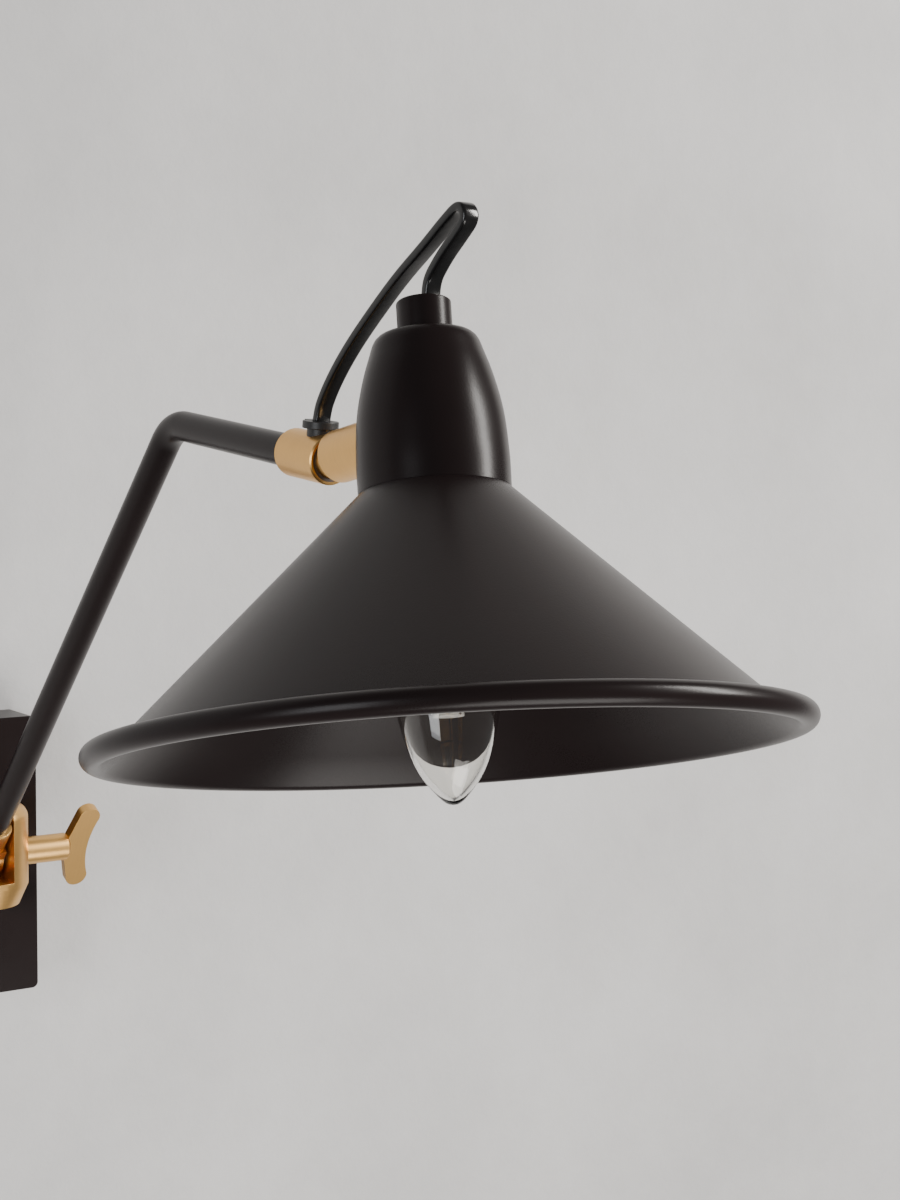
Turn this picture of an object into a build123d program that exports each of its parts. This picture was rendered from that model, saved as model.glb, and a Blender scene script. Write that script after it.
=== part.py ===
"""Swing arm wall sconce: a black backplate, a brass knuckle, a bent tube arm and a cone shade.

Millimetres, +Z up.  The wall is the plane Y = 0 and the lamp stands out towards -Y.  The origin is the
middle of the backplate's back face, on the wall.
"""
import os
from math import asin, atan2, cos, degrees, hypot, radians, sin, tan

from build123d import *

os.makedirs("parts", exist_ok=True)

# --------------------------------------------------------------------------- driving dimensions
# wall box
plate_width = 78.0
plate_height = 142.0
plate_depth = 30.0
plate_wall = 1.5
plate_corner = 3.0
bracket_width = 62.0
bracket_height = 120.0
bracket_thickness = 2.0
bracket_tab_height = 24.0
bracket_tab_depth = 16.0
wall_screw_spacing = 80.0
wall_slot_width = 5.0
wall_slot_length = 9.0
cable_entry_radius = 12.0
cover_screw_radius = 2.0

# knuckle
knuckle_standoff = 26.15
knuckle_height = 7.2
fork_radius = 22.0
fork_rise = 26.0
fork_drop = 24.0
fork_slot_width = 16.6
fork_slot_drop = 11.0
fork_top_round = 7.0
fork_foot_chamfer = 4.5
fork_foot_taper = 10.0
spot_face_half_width = 17.6
spot_face_radius = 8.4
window_front = 10.0
fork_floor = 3.6
washer_thickness = 0.8
tongue_thickness = 5.2
tongue_width = 11.0
tongue_eye_radius = 8.0
swing_pin_radius = 4.0
flange_radius = 16.0
flange_thickness = 3.0
stem_stud_radius = 6.0

# wing screw
screw_radius = 4.0
screw_boss_radius = 6.9
wing_start = 41.0
wing_end = 59.1
wing_reach = 24.2
wing_thickness = 5.0
wing_lobe_radius = 5.6
wing_lean = -28.0

# arm
lower_arm_length = 302.0
lower_arm_rise = 44.6
upper_arm_rise = -6.0
tube_radius = 6.0
tube_wall = 1.5
bend_radius = 22.0
eye_radius = 10.0
eye_width = 14.0
ferrule_radius = 8.0
ferrule_reach = 26.0
tube_insert = 8.0
ferrule_start = 12.0

# swivel sleeve and ball joint
sleeve_start = 98.0
sleeve_length = 26.0
sleeve_radius = 8.7
sleeve_overlap = 10.0
seat_radius = 7.5
ball_radius = 6.4
ball_inset = 2.0
ball_neck_radius = 3.6
barrel_gap = 7.0
barrel_radius = 9.2
barrel_cant = 4.0
grommet_along = 17.0
grommet_radius = 6.4
grommet_neck_radius = 4.7
grommet_flange = 2.6
grommet_lift = 1.5

# shade: heights are measured along its own axis from the neck, where the bell meets the cone
axis_along = 189.0
neck_drop = 3.9
shade_tilt_out = 14.4
shade_lean = 5.0
neck_radius = 25.1
bell_max_radius = 24.7
bell_height = 53.0
bell_top_radius = 14.5
bell_wall = 1.5
flange_top = 1.0
shade_drop = 79.2
rim_radius = 114.4
rim_bead_radius = 3.8
shade_wall = 1.2
rim_overlap = 0.15
collar_radius = 9.0
collar_height = 12.0
nipple_radius = 5.0
nipple_bore = 3.4

# lampholder and candle bulb
holder_radius = 14.0
holder_top = 34.0
holder_mouth = -20.0
holder_wall = 1.8
cap_radius = 6.8
cap_length = 22.0
bulb_radius = 17.5
bulb_length = 100.0
bulb_tip = -98.6
glass_wall = 0.7

# flat cable
cable_width = 6.4
cable_thickness = 3.2
cable_offset = 4.0
cable_tail = 5.4
cable_lead = 3.6
slot_depth = 6.0

# fits
running = 0.05
slip = 0.10
face_gap = 0.10
free_gap = 0.30
cable_room = 0.25
edge_break = 0.5

# --------------------------------------------------------------------------- frames
plate_front = -plate_depth
knuckle = Vector(0, plate_front - knuckle_standoff, knuckle_height)


def direction(rise):
    """Unit vector that points away from the wall and climbs at this angle."""
    return Vector(0, -cos(radians(rise)), sin(radians(rise)))


def turned_plane(origin, axis):
    """A plane with its normal along the axis and its first direction near world X."""
    normal = axis.normalized()
    first = Vector(1, 0, 0) - normal * normal.X
    return Plane(origin=origin, x_dir=first.normalized(), z_dir=normal)


def cross_plane(origin):
    """A plane whose normal is world X, for bores and discs on a cross axis."""
    return Plane(origin=origin, x_dir=(0, 1, 0), z_dir=(1, 0, 0))


lower_dir = direction(lower_arm_rise)
upper_dir = direction(upper_arm_rise)
upper_up = direction(upper_arm_rise + 90)
bend_corner = knuckle + lower_dir * lower_arm_length
lean_tan = tan(radians(shade_lean))
out_tan = tan(radians(shade_tilt_out))
shade_up = Vector(lean_tan, out_tan, 1).normalized()
neck = bend_corner + upper_dir * axis_along - shade_up * neck_drop
head = turned_plane(neck, shade_up)
sleeve_end = sleeve_start + sleeve_length
ball_centre = bend_corner + upper_dir * (sleeve_end - ball_inset)

# the barrel stands square on the leaning side of the bell, and its axis crosses the shade's own
ball_local = head.to_local_coords(ball_centre)
ball_reach = hypot(ball_local.X, ball_local.Y)
barrel_height = ball_local.Z - ball_reach * tan(radians(barrel_cant))
seat_point = neck + shade_up * barrel_height
barrel_dir = (seat_point - ball_centre).normalized()
barrel_plane = turned_plane(ball_centre, barrel_dir)
tilt_axis = upper_dir.cross(barrel_dir).normalized()
rest_tilt = degrees(asin(upper_dir.cross(barrel_dir).length))
barrel_length = (seat_point - ball_centre).length

# --------------------------------------------------------------------------- cable frame
grommet_top = sleeve_radius + grommet_lift + grommet_flange
cable_exit = bend_corner + upper_dir * (sleeve_start + grommet_along) + upper_up * grommet_top
collar_top = neck + shade_up * (bell_height + collar_height)
cable_in = collar_top - head.y_dir * cable_offset
across = Vector(cable_in.X - cable_exit.X, cable_in.Y - cable_exit.Y, 0).normalized()
loop_plane = Plane(origin=cable_exit, x_dir=across, z_dir=across.cross(Vector(0, 0, 1)))
cable_side = loop_plane.z_dir
entry_dir = (shade_up - cable_side * shade_up.dot(cable_side)).normalized()


def cable_section(origin, axis):
    """A plane square to the axis, with its first direction along the flat cable's width."""
    normal = axis.normalized()
    first = cable_side - normal * cable_side.dot(normal)
    return Plane(origin=origin, x_dir=first.normalized(), z_dir=normal)


print("ball centre", ball_centre, "neck", neck)
print("shade up", shade_up, "barrel", barrel_dir, "tilt axis", tilt_axis)
print("rest tilt", round(rest_tilt, 2), "barrel reach", round(barrel_length, 2))


def save(builder, label):
    """Label a finished piece and write its STEP file."""
    builder.part.label = label
    export_step(builder.part, f"parts/{label}.step")


# --------------------------------------------------------------------------- wall box
box_plane = Plane(origin=(0, 0, 0), x_dir=(1, 0, 0), z_dir=(0, -1, 0))
window_height = tongue_thickness + 2 * (washer_thickness + face_gap)
stem_height = knuckle_height - fork_drop + fork_floor + 0.5 * window_height
stem_stud_hole = stem_stud_radius + slip
side_screw_depth = 0.5 * bracket_tab_depth + bracket_thickness

with BuildPart() as backplate:
    with BuildSketch(box_plane):
        RectangleRounded(plate_width, plate_height, plate_corner)
    extrude(amount=plate_depth)
    with BuildSketch(box_plane):
        Rectangle(plate_width - 2 * plate_wall, plate_height - 2 * plate_wall)
    extrude(amount=plate_depth - plate_wall, mode=Mode.SUBTRACT)
    with BuildSketch(box_plane.offset(plate_depth)):
        with Locations((0, stem_height)):
            Circle(stem_stud_hole)
    extrude(amount=-2 * plate_wall, mode=Mode.SUBTRACT)
    with BuildSketch(Plane(origin=(0, -side_screw_depth, 0), x_dir=(0, 1, 0), z_dir=(1, 0, 0))):
        Circle(cover_screw_radius + slip)
    extrude(amount=plate_width, both=True, mode=Mode.SUBTRACT)
    chamfer(backplate.faces().sort_by(Axis.Y)[0].outer_wire().edges(), edge_break)
save(backplate, "backplate")

tab_reach = 0.5 * plate_width - plate_wall - slip
with BuildPart() as mounting_bracket:
    with BuildSketch(box_plane):
        RectangleRounded(bracket_width, bracket_height, plate_corner)
        with Locations((0, 0.5 * wall_screw_spacing), (0, -0.5 * wall_screw_spacing)):
            SlotOverall(wall_slot_length, wall_slot_width, rotation=90, mode=Mode.SUBTRACT)
        Circle(cable_entry_radius, mode=Mode.SUBTRACT)
    extrude(amount=bracket_thickness)
    with BuildSketch(box_plane):
        Rectangle(2 * tab_reach, bracket_tab_height)
        Rectangle(bracket_width - plate_corner, bracket_tab_height, mode=Mode.SUBTRACT)
    extrude(amount=bracket_thickness)
    with BuildSketch(box_plane):
        Rectangle(2 * tab_reach, bracket_tab_height)
        Rectangle(2 * (tab_reach - bracket_thickness), bracket_tab_height, mode=Mode.SUBTRACT)
    extrude(amount=bracket_tab_depth)
    with BuildSketch(Plane(origin=(0, -side_screw_depth, 0), x_dir=(0, 1, 0), z_dir=(1, 0, 0))):
        Circle(cover_screw_radius)
    extrude(amount=plate_width, both=True, mode=Mode.SUBTRACT)
save(mounting_bracket, "mounting_bracket")

screw_head_radius = 3.6
screw_head_height = 1.6
recess_width = 1.2
recess_depth = 1.0
screw_tip = tab_reach - bracket_thickness - screw_head_height
with BuildPart() as cover_screws:
    for side in (1, -1):
        shank = Plane(origin=(side * screw_tip, -side_screw_depth, 0), x_dir=(0, 1, 0), z_dir=(side, 0, 0))
        with BuildSketch(shank):
            Circle(cover_screw_radius)
        extrude(amount=0.5 * plate_width - screw_tip)
        with BuildSketch(shank.offset(0.5 * plate_width - screw_tip)):
            Circle(screw_head_radius)
        extrude(amount=screw_head_height)
        with BuildSketch(shank.offset(0.5 * plate_width - screw_tip + screw_head_height)):
            Rectangle(recess_width, 1.4 * screw_head_radius)
            Rectangle(1.4 * screw_head_radius, recess_width)
        extrude(amount=-recess_depth, mode=Mode.SUBTRACT)
save(cover_screws, "cover_screws")

terminal_height = 22.0
terminal_spacing = 9.0
terminal_rows = 7.5
block_size = 15.0
block_depth = 12.0
well_radius = 2.1
well_depth = 6.0
wire_radius = 1.7
wire_height = 3.5
terminal_centre = Vector(0, -bracket_thickness, terminal_height)
terminal_plane = Plane(origin=terminal_centre, x_dir=(1, 0, 0), z_dir=(0, -1, 0))
wire_plane = Plane(origin=terminal_centre - Vector(0, wire_height, 0), x_dir=(1, 0, 0), z_dir=(0, 0, 1))
with BuildPart() as terminal_block:
    with BuildSketch(terminal_plane):
        Rectangle(3 * terminal_spacing, block_size)
    extrude(amount=block_depth)
    with BuildSketch(terminal_plane.offset(block_depth)):
        with GridLocations(terminal_spacing, terminal_rows, 3, 2):
            Circle(well_radius)
    extrude(amount=-well_depth, mode=Mode.SUBTRACT)
    with BuildSketch(wire_plane):
        with GridLocations(terminal_spacing, 0, 3, 1):
            Circle(wire_radius)
    extrude(amount=block_size, both=True, mode=Mode.SUBTRACT)
save(terminal_block, "terminal_block")

terminal_screw_height = 4.2
with BuildPart() as terminal_screws:
    with BuildSketch(terminal_plane.offset(block_depth - well_depth + running)):
        with GridLocations(terminal_spacing, terminal_rows, 3, 2):
            Circle(well_radius - slip)
    extrude(amount=terminal_screw_height)
    with BuildSketch(terminal_plane.offset(block_depth - well_depth + running + terminal_screw_height)):
        with GridLocations(terminal_spacing, terminal_rows, 3, 2):
            Rectangle(1.4 * well_radius, 0.5 * recess_width)
    extrude(amount=-recess_depth, mode=Mode.SUBTRACT)
save(terminal_screws, "terminal_screws")

earth_washer_radius = 4.5
earth_washer_thickness = 1.2
earth_plane = Plane(origin=(terminal_height, -bracket_thickness, -terminal_height), x_dir=(1, 0, 0),
                    z_dir=(0, -1, 0))
with BuildPart() as earth_screw:
    with BuildSketch(earth_plane):
        Circle(earth_washer_radius)
    extrude(amount=earth_washer_thickness)
    with BuildSketch(earth_plane.offset(earth_washer_thickness)):
        Circle(screw_head_radius)
    extrude(amount=screw_head_height)
    with BuildSketch(earth_plane.offset(earth_washer_thickness + screw_head_height)):
        Rectangle(1.4 * screw_head_radius, recess_width)
        Rectangle(recess_width, 1.4 * screw_head_radius)
    extrude(amount=-recess_depth, mode=Mode.SUBTRACT)
save(earth_screw, "earth_screw")

# --------------------------------------------------------------------------- brass stem
swing_axis = Vector(knuckle.X, knuckle.Y, stem_height)
tongue_bottom = stem_height - 0.5 * tongue_thickness
stem_plane = Plane(origin=(0, plate_front, stem_height), x_dir=(1, 0, 0), z_dir=(0, -1, 0))

stud_length = 14.0
stem_washer_radius = 11.0
stem_washer_thickness = 1.5
stem_nut_radius = 10.0
stem_nut_height = 6.0
with BuildPart() as wall_stem:
    with BuildSketch(Plane(origin=(0, 0, tongue_bottom), x_dir=(1, 0, 0), z_dir=(0, 0, 1))):
        with Locations((swing_axis.X, swing_axis.Y)):
            Circle(tongue_eye_radius)
        with Locations((swing_axis.X, 0.5 * (swing_axis.Y + plate_front))):
            Rectangle(tongue_width, knuckle_standoff)
    extrude(amount=tongue_thickness)
    with BuildSketch(stem_plane):
        Circle(flange_radius)
    extrude(amount=flange_thickness)
    with BuildSketch(stem_plane):
        Circle(stem_stud_radius)
    extrude(amount=-stud_length)
    with BuildSketch(Plane(origin=(0, 0, tongue_bottom), x_dir=(1, 0, 0), z_dir=(0, 0, 1))):
        with Locations((swing_axis.X, swing_axis.Y)):
            Circle(swing_pin_radius + running)
    extrude(amount=tongue_thickness, mode=Mode.SUBTRACT)
    flange_face = wall_stem.faces().filter_by(Axis.Y).sort_by(SortBy.AREA)[-2:].sort_by(Axis.Y)[0]
    fillet(flange_face.outer_wire().edges().filter_by(GeomType.CIRCLE), 0.3 * flange_thickness)
save(wall_stem, "wall_stem")

inside_face = Plane(origin=(0, plate_front + plate_wall, stem_height), x_dir=(1, 0, 0), z_dir=(0, 1, 0))
with BuildPart() as stem_washer:
    with BuildSketch(inside_face):
        Circle(stem_washer_radius)
        Circle(stem_stud_hole, mode=Mode.SUBTRACT)
    extrude(amount=stem_washer_thickness)
save(stem_washer, "stem_washer")

with BuildPart() as stem_nut:
    with BuildSketch(inside_face.offset(stem_washer_thickness)):
        RegularPolygon(stem_nut_radius, 6)
        Circle(stem_stud_radius, mode=Mode.SUBTRACT)
    extrude(amount=stem_nut_height)
save(stem_nut, "stem_nut")

# --------------------------------------------------------------------------- swivel fork
fork_foot = knuckle.Z - fork_drop
fork_plane = Plane(origin=(knuckle.X, knuckle.Y, fork_foot), x_dir=(1, 0, 0), z_dir=(0, 0, 1))
window_bottom = stem_height - 0.5 * window_height
head_recess = 2.4
pin_head_radius = 6.5
pin_slot_width = 1.4
pin_slot_depth = 1.2
pin_top = knuckle.Z - fork_slot_drop - pin_slot_depth

with BuildPart() as swivel_fork:
    with BuildSketch(fork_plane):
        Circle(fork_radius)
    extrude(amount=fork_rise + fork_drop)
    fillet(swivel_fork.faces().sort_by(Axis.Z)[-1].edges(), fork_top_round)
    foot_face = swivel_fork.faces().sort_by(Axis.Z)[0]
    chamfer(foot_face.edges(), fork_foot_chamfer, fork_foot_taper, reference=foot_face)
    with BuildSketch(fork_plane.offset(fork_drop - fork_slot_drop)):
        Rectangle(fork_slot_width, 2 * fork_radius + 2)
    extrude(amount=fork_rise + fork_slot_drop, mode=Mode.SUBTRACT)
    for side in (1, -1):
        with BuildSketch(cross_plane(knuckle + Vector(side * spot_face_half_width, 0, 0))):
            Circle(spot_face_radius)
        extrude(amount=side * fork_radius, mode=Mode.SUBTRACT)
    with BuildSketch(cross_plane(knuckle)):
        Circle(screw_radius + running)
    extrude(amount=fork_radius, both=True, mode=Mode.SUBTRACT)
    with BuildSketch(fork_plane.offset(window_bottom - fork_foot)):
        with Locations((0, 0.5 * (fork_radius + 2 - window_front))):
            Rectangle(2 * fork_radius + 2, fork_radius + 2 + window_front)
    extrude(amount=window_height, mode=Mode.SUBTRACT)
    with BuildSketch(fork_plane):
        Circle(swing_pin_radius)
    extrude(amount=pin_top - fork_foot, mode=Mode.SUBTRACT)
    with BuildSketch(fork_plane):
        Circle(pin_head_radius)
    extrude(amount=head_recess, mode=Mode.SUBTRACT)
save(swivel_fork, "swivel_fork")

with BuildPart() as swing_pin:
    with BuildSketch(fork_plane):
        Circle(pin_head_radius - slip)
    extrude(amount=head_recess)
    with BuildSketch(fork_plane.offset(head_recess)):
        Circle(swing_pin_radius)
    extrude(amount=pin_top - fork_foot - head_recess)
    with BuildSketch(fork_plane):
        Rectangle(1.5 * pin_head_radius, pin_slot_width)
    extrude(amount=pin_slot_depth, mode=Mode.SUBTRACT)
save(swing_pin, "swing_pin")

with BuildPart() as swing_washers:
    for bottom in (window_bottom, window_bottom + window_height - washer_thickness):
        with BuildSketch(fork_plane.offset(bottom - fork_foot)):
            Circle(tongue_eye_radius)
            Circle(swing_pin_radius, mode=Mode.SUBTRACT)
        extrude(amount=washer_thickness)
save(swing_washers, "swing_washers")

friction_washer = 0.5 * (fork_slot_width - eye_width) - face_gap
with BuildPart() as friction_washers:
    for side in (1, -1):
        with BuildSketch(cross_plane(knuckle + Vector(side * 0.5 * fork_slot_width, 0, 0))):
            Circle(tongue_eye_radius)
            Circle(screw_radius + slip, mode=Mode.SUBTRACT)
        extrude(amount=-side * friction_washer)
save(friction_washers, "friction_washers")

nut_thickness = 5.5
nut_radius = 7.2
nut_chamfer = 0.8
screw_end = 1.5
with BuildPart() as clamp_nut:
    with BuildSketch(cross_plane(knuckle - Vector(spot_face_half_width, 0, 0))):
        RegularPolygon(nut_radius, 6)
        Circle(screw_radius + running, mode=Mode.SUBTRACT)
    extrude(amount=-nut_thickness)
    chamfer(clamp_nut.faces().sort_by(Axis.X)[0].outer_wire().edges(), nut_chamfer)
save(clamp_nut, "clamp_nut")

# --------------------------------------------------------------------------- wing screw
boss_face = spot_face_half_width + face_gap
boss_end = wing_start + 3.0
boss_chamfer = 1.2
wing_root = wing_start + 2.0
wing_root_half = 6.5
wing_waist = wing_end - 4.8
lobe_along = wing_end - wing_lobe_radius - 1.5
wing_normal = Vector(0, cos(radians(wing_lean)), -sin(radians(wing_lean)))
wing_plane = Plane(origin=knuckle - wing_normal * (0.5 * wing_thickness), x_dir=(1, 0, 0), z_dir=wing_normal)


def lobe_point(side, angle):
    """A point on the rounded tip of the upper wing (side 1) or the lower one (side -1)."""
    up = wing_reach - wing_lobe_radius + wing_lobe_radius * sin(radians(angle))
    return (lobe_along + wing_lobe_radius * cos(radians(angle)), side * up)


with BuildPart() as wing_screw:
    with BuildSketch(cross_plane(knuckle + Vector(boss_face, 0, 0))):
        Circle(screw_boss_radius)
    extrude(amount=boss_end - boss_face)
    chamfer(wing_screw.faces().sort_by(Axis.X)[-1].edges(), boss_chamfer)
    with BuildSketch(cross_plane(knuckle + Vector(boss_face, 0, 0))):
        Circle(screw_radius)
    extrude(amount=-(boss_face + spot_face_half_width + nut_thickness + screw_end))
    with BuildSketch(wing_plane):
        with BuildLine():
            Line((wing_root, -wing_root_half), (wing_root, wing_root_half))
            Line((wing_root, wing_root_half), lobe_point(1, 154))
            ThreePointArc(lobe_point(1, 154), lobe_point(1, 78), lobe_point(1, -14))
            ThreePointArc(lobe_point(1, -14), (wing_waist, 0), lobe_point(-1, -14))
            ThreePointArc(lobe_point(-1, -14), lobe_point(-1, 78), lobe_point(-1, 154))
            Line(lobe_point(-1, 154), (wing_root, -wing_root_half))
        make_face()
    extrude(amount=wing_thickness)
save(wing_screw, "wing_screw")

# --------------------------------------------------------------------------- arm
lower_plane = turned_plane(knuckle, lower_dir)
tube_start = ferrule_reach - tube_insert
with BuildPart() as arm_knuckle:
    with BuildSketch(cross_plane(knuckle)):
        Circle(eye_radius)
    extrude(amount=0.5 * eye_width, both=True)
    with BuildSketch(lower_plane):
        Rectangle(eye_width, 1.5 * eye_radius)
    extrude(amount=ferrule_start)
    with BuildSketch(lower_plane.offset(eye_radius)):
        Circle(ferrule_radius)
    extrude(amount=ferrule_reach - eye_radius)
    ferrule_lip = arm_knuckle.faces().filter_by(GeomType.PLANE).sort_by(Axis(knuckle, lower_dir))[-1]
    chamfer(ferrule_lip.edges(), edge_break)
    with BuildSketch(lower_plane.offset(tube_start)):
        Circle(tube_radius)
    extrude(amount=tube_insert + 1, mode=Mode.SUBTRACT)
    with BuildSketch(cross_plane(knuckle)):
        Circle(screw_radius + running)
    extrude(amount=eye_width, both=True, mode=Mode.SUBTRACT)
save(arm_knuckle, "arm_knuckle")

tube_end = bend_corner + upper_dir * (sleeve_start + sleeve_overlap)
groove_start = sleeve_start + 3.5
groove_width = 3.4
groove_depth = 0.7
with BuildPart() as arm_tube:
    with BuildLine() as tube_path:
        FilletPolyline(knuckle + lower_dir * tube_start, bend_corner, tube_end, radius=bend_radius)
    with BuildSketch(turned_plane(knuckle + lower_dir * tube_start, lower_dir)):
        Circle(tube_radius)
        Circle(tube_radius - tube_wall, mode=Mode.SUBTRACT)
    sweep()
    with BuildSketch(turned_plane(bend_corner + upper_dir * groove_start, upper_dir)):
        Circle(tube_radius + 1)
        Circle(tube_radius - groove_depth, mode=Mode.SUBTRACT)
    extrude(amount=groove_width, mode=Mode.SUBTRACT)
save(arm_tube, "arm_tube")

# --------------------------------------------------------------------------- swivel sleeve
sleeve_plane = turned_plane(bend_corner + upper_dir * sleeve_start, upper_dir)
seat_wall = 0.8
seat_setback = 0.5
seat_bore = 3.0
seat_start = sleeve_length - ball_inset - ball_radius - seat_wall
grommet_plane = Plane(origin=bend_corner + upper_dir * (sleeve_start + grommet_along),
                      x_dir=(1, 0, 0), z_dir=upper_up)
grub_along = groove_start - sleeve_start + 0.5 * groove_width
grub_plane = Plane(origin=bend_corner + upper_dir * (sleeve_start + grub_along),
                   x_dir=(1, 0, 0), z_dir=-upper_up)
grub_radius = 1.5
grub_inset = 0.3
grub_key_radius = 0.8
grub_key_depth = 1.2
with BuildPart() as swivel_sleeve:
    with BuildSketch(sleeve_plane):
        Circle(sleeve_radius)
    extrude(amount=sleeve_length)
    chamfer(swivel_sleeve.faces().filter_by(GeomType.PLANE).edges(), edge_break)
    with BuildSketch(sleeve_plane):
        Circle(tube_radius + running)
    extrude(amount=sleeve_overlap + face_gap, mode=Mode.SUBTRACT)
    with BuildSketch(sleeve_plane.offset(sleeve_overlap)):
        Circle(tube_radius - tube_wall)
    extrude(amount=sleeve_length, mode=Mode.SUBTRACT)
    with BuildSketch(sleeve_plane.offset(seat_start)):
        Circle(seat_radius)
    extrude(amount=sleeve_length, mode=Mode.SUBTRACT)
    with BuildSketch(grommet_plane):
        Circle(grommet_neck_radius)
    extrude(amount=2 * sleeve_radius, mode=Mode.SUBTRACT)
    with BuildSketch(grub_plane):
        Circle(grub_radius)
    extrude(amount=2 * sleeve_radius, mode=Mode.SUBTRACT)
save(swivel_sleeve, "swivel_sleeve")

with BuildPart() as sleeve_grub_screw:
    with BuildSketch(grub_plane.offset(tube_radius - groove_depth + slip)):
        Circle(grub_radius)
    extrude(amount=sleeve_radius - tube_radius + groove_depth - slip - grub_inset)
    with BuildSketch(grub_plane.offset(sleeve_radius - grub_inset)):
        RegularPolygon(grub_key_radius, 6)
    extrude(amount=-grub_key_depth, mode=Mode.SUBTRACT)
save(sleeve_grub_screw, "sleeve_grub_screw")

seat_length = sleeve_length - seat_start - seat_setback
with BuildPart() as ball_seat:
    with BuildSketch(sleeve_plane.offset(seat_start)):
        Circle(seat_radius)
    extrude(amount=seat_length)
    with BuildSketch(grommet_plane):
        Circle(grommet_neck_radius)
    extrude(amount=2 * sleeve_radius, mode=Mode.SUBTRACT)
    with BuildSketch(sleeve_plane.offset(seat_start)):
        Circle(seat_bore)
    extrude(amount=seat_length, mode=Mode.SUBTRACT)
    with Locations(Location(ball_centre)):
        Sphere(ball_radius + running, mode=Mode.SUBTRACT)
save(ball_seat, "ball_seat")

grommet_foot = max(tube_radius, ball_radius) + slip
grommet_notch = 3.4
with BuildPart() as cable_grommet:
    with BuildSketch(grommet_plane.offset(grommet_foot)):
        Circle(grommet_neck_radius)
    extrude(amount=grommet_top - grommet_foot)
    with BuildSketch(grommet_plane.offset(sleeve_radius + grommet_lift)):
        Circle(grommet_radius)
        with Locations((0, 0.85 * grommet_radius)):
            Rectangle(grommet_notch, grommet_radius)
    extrude(amount=grommet_flange)
    with BuildSketch(cable_section(grommet_plane.origin, upper_up)):
        Rectangle(cable_width + 2 * cable_room, cable_thickness + 2 * cable_room)
    extrude(amount=grommet_top + 1, mode=Mode.SUBTRACT)
save(cable_grommet, "cable_grommet")

# --------------------------------------------------------------------------- bell, ball stud and barrel
def bell_outline(offset_in):
    """Half outline of the bell, moved inwards by this much."""
    start = (bell_max_radius - offset_in, flange_top)
    side_end = (bell_max_radius - offset_in, 0.26 * bell_height)
    cheek = (0.947 * bell_max_radius - offset_in, 0.547 * bell_height)
    shoulder = (0.781 * bell_max_radius - offset_in, 0.85 * bell_height - 0.3 * offset_in)
    top_edge = (bell_top_radius, bell_height - offset_in)
    Line((0, flange_top), start)
    Spline(start, side_end, cheek, shoulder, top_edge, tangents=((0, 1), (-1, 0.12)))
    Line(top_edge, (0, bell_height - offset_in))
    Line((0, bell_height - offset_in), (0, flange_top))


head_section = Plane(origin=head.origin, x_dir=head.x_dir, z_dir=-head.y_dir)
head_axis = Axis(neck, shade_up)
stud_bolt_radius = 3.0
stud_insert = 6.0
barrel_inset = 4.0
bolt_hole_start = barrel_gap + stud_insert + 2.0
bolt_end_gap = 0.5
bolt_head_radius = 4.8
bolt_head_height = 2.6
hex_key_radius = 2.2
hex_key_depth = 1.6
screw_head_seat = 17.5
barrel_washer_radius = 6.5
with BuildPart() as shade_bell:
    with BuildSketch(head_section):
        with BuildLine():
            bell_outline(0)
        make_face()
    revolve(axis=head_axis)
    with BuildSketch(head_section):
        with BuildLine():
            bell_outline(bell_wall)
        make_face()
    revolve(axis=head_axis, mode=Mode.SUBTRACT)
    with BuildSketch(head.offset(bell_height)):
        Circle(nipple_radius + slip)
    extrude(amount=-2 * bell_wall, mode=Mode.SUBTRACT)
    with BuildSketch(barrel_plane):
        Circle(stud_bolt_radius + slip)
    extrude(amount=barrel_length, mode=Mode.SUBTRACT)
save(shade_bell, "shade_bell")

with BuildPart() as ball_stud:
    with Locations(Location(ball_centre)):
        Sphere(ball_radius)
    with BuildSketch(barrel_plane):
        Circle(ball_neck_radius)
    extrude(amount=barrel_gap + stud_insert)
save(ball_stud, "ball_stud")

with BuildPart() as side_barrel:
    with BuildSketch(barrel_plane.offset(barrel_gap)):
        Circle(barrel_radius)
    extrude(amount=barrel_length - barrel_gap - barrel_inset)
    chamfer(side_barrel.faces().sort_by(Axis(ball_centre, barrel_dir))[0].edges(), 0.6)
    with BuildSketch(head_section):
        with BuildLine():
            bell_outline(0)
        make_face()
    revolve(axis=head_axis, mode=Mode.SUBTRACT)
    with BuildSketch(barrel_plane):
        Circle(ball_neck_radius)
    extrude(amount=barrel_gap + stud_insert, mode=Mode.SUBTRACT)
    with BuildSketch(barrel_plane.offset(bolt_hole_start)):
        Circle(stud_bolt_radius)
    extrude(amount=barrel_length, mode=Mode.SUBTRACT)
save(side_barrel, "side_barrel")

with BuildPart() as barrel_screw:
    with BuildSketch(barrel_plane.offset(bolt_hole_start + bolt_end_gap)):
        Circle(stud_bolt_radius)
    extrude(amount=barrel_length - screw_head_seat - bolt_hole_start - bolt_end_gap)
    with BuildSketch(barrel_plane.offset(barrel_length - screw_head_seat)):
        Circle(bolt_head_radius)
    extrude(amount=bolt_head_height)
    with BuildSketch(barrel_plane.offset(barrel_length - screw_head_seat + bolt_head_height)):
        RegularPolygon(hex_key_radius, 6)
    extrude(amount=-hex_key_depth, mode=Mode.SUBTRACT)
save(barrel_screw, "barrel_screw")

with BuildPart() as barrel_washer:
    with BuildSketch(barrel_plane.offset(barrel_length - bell_max_radius)):
        Circle(barrel_washer_radius)
        Circle(stud_bolt_radius + slip, mode=Mode.SUBTRACT)
    extrude(amount=bell_max_radius - screw_head_seat)
    with BuildSketch(head_section):
        with BuildLine():
            bell_outline(bell_wall)
        make_face()
    revolve(axis=head_axis, mode=Mode.INTERSECT)
save(barrel_washer, "barrel_washer")

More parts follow.
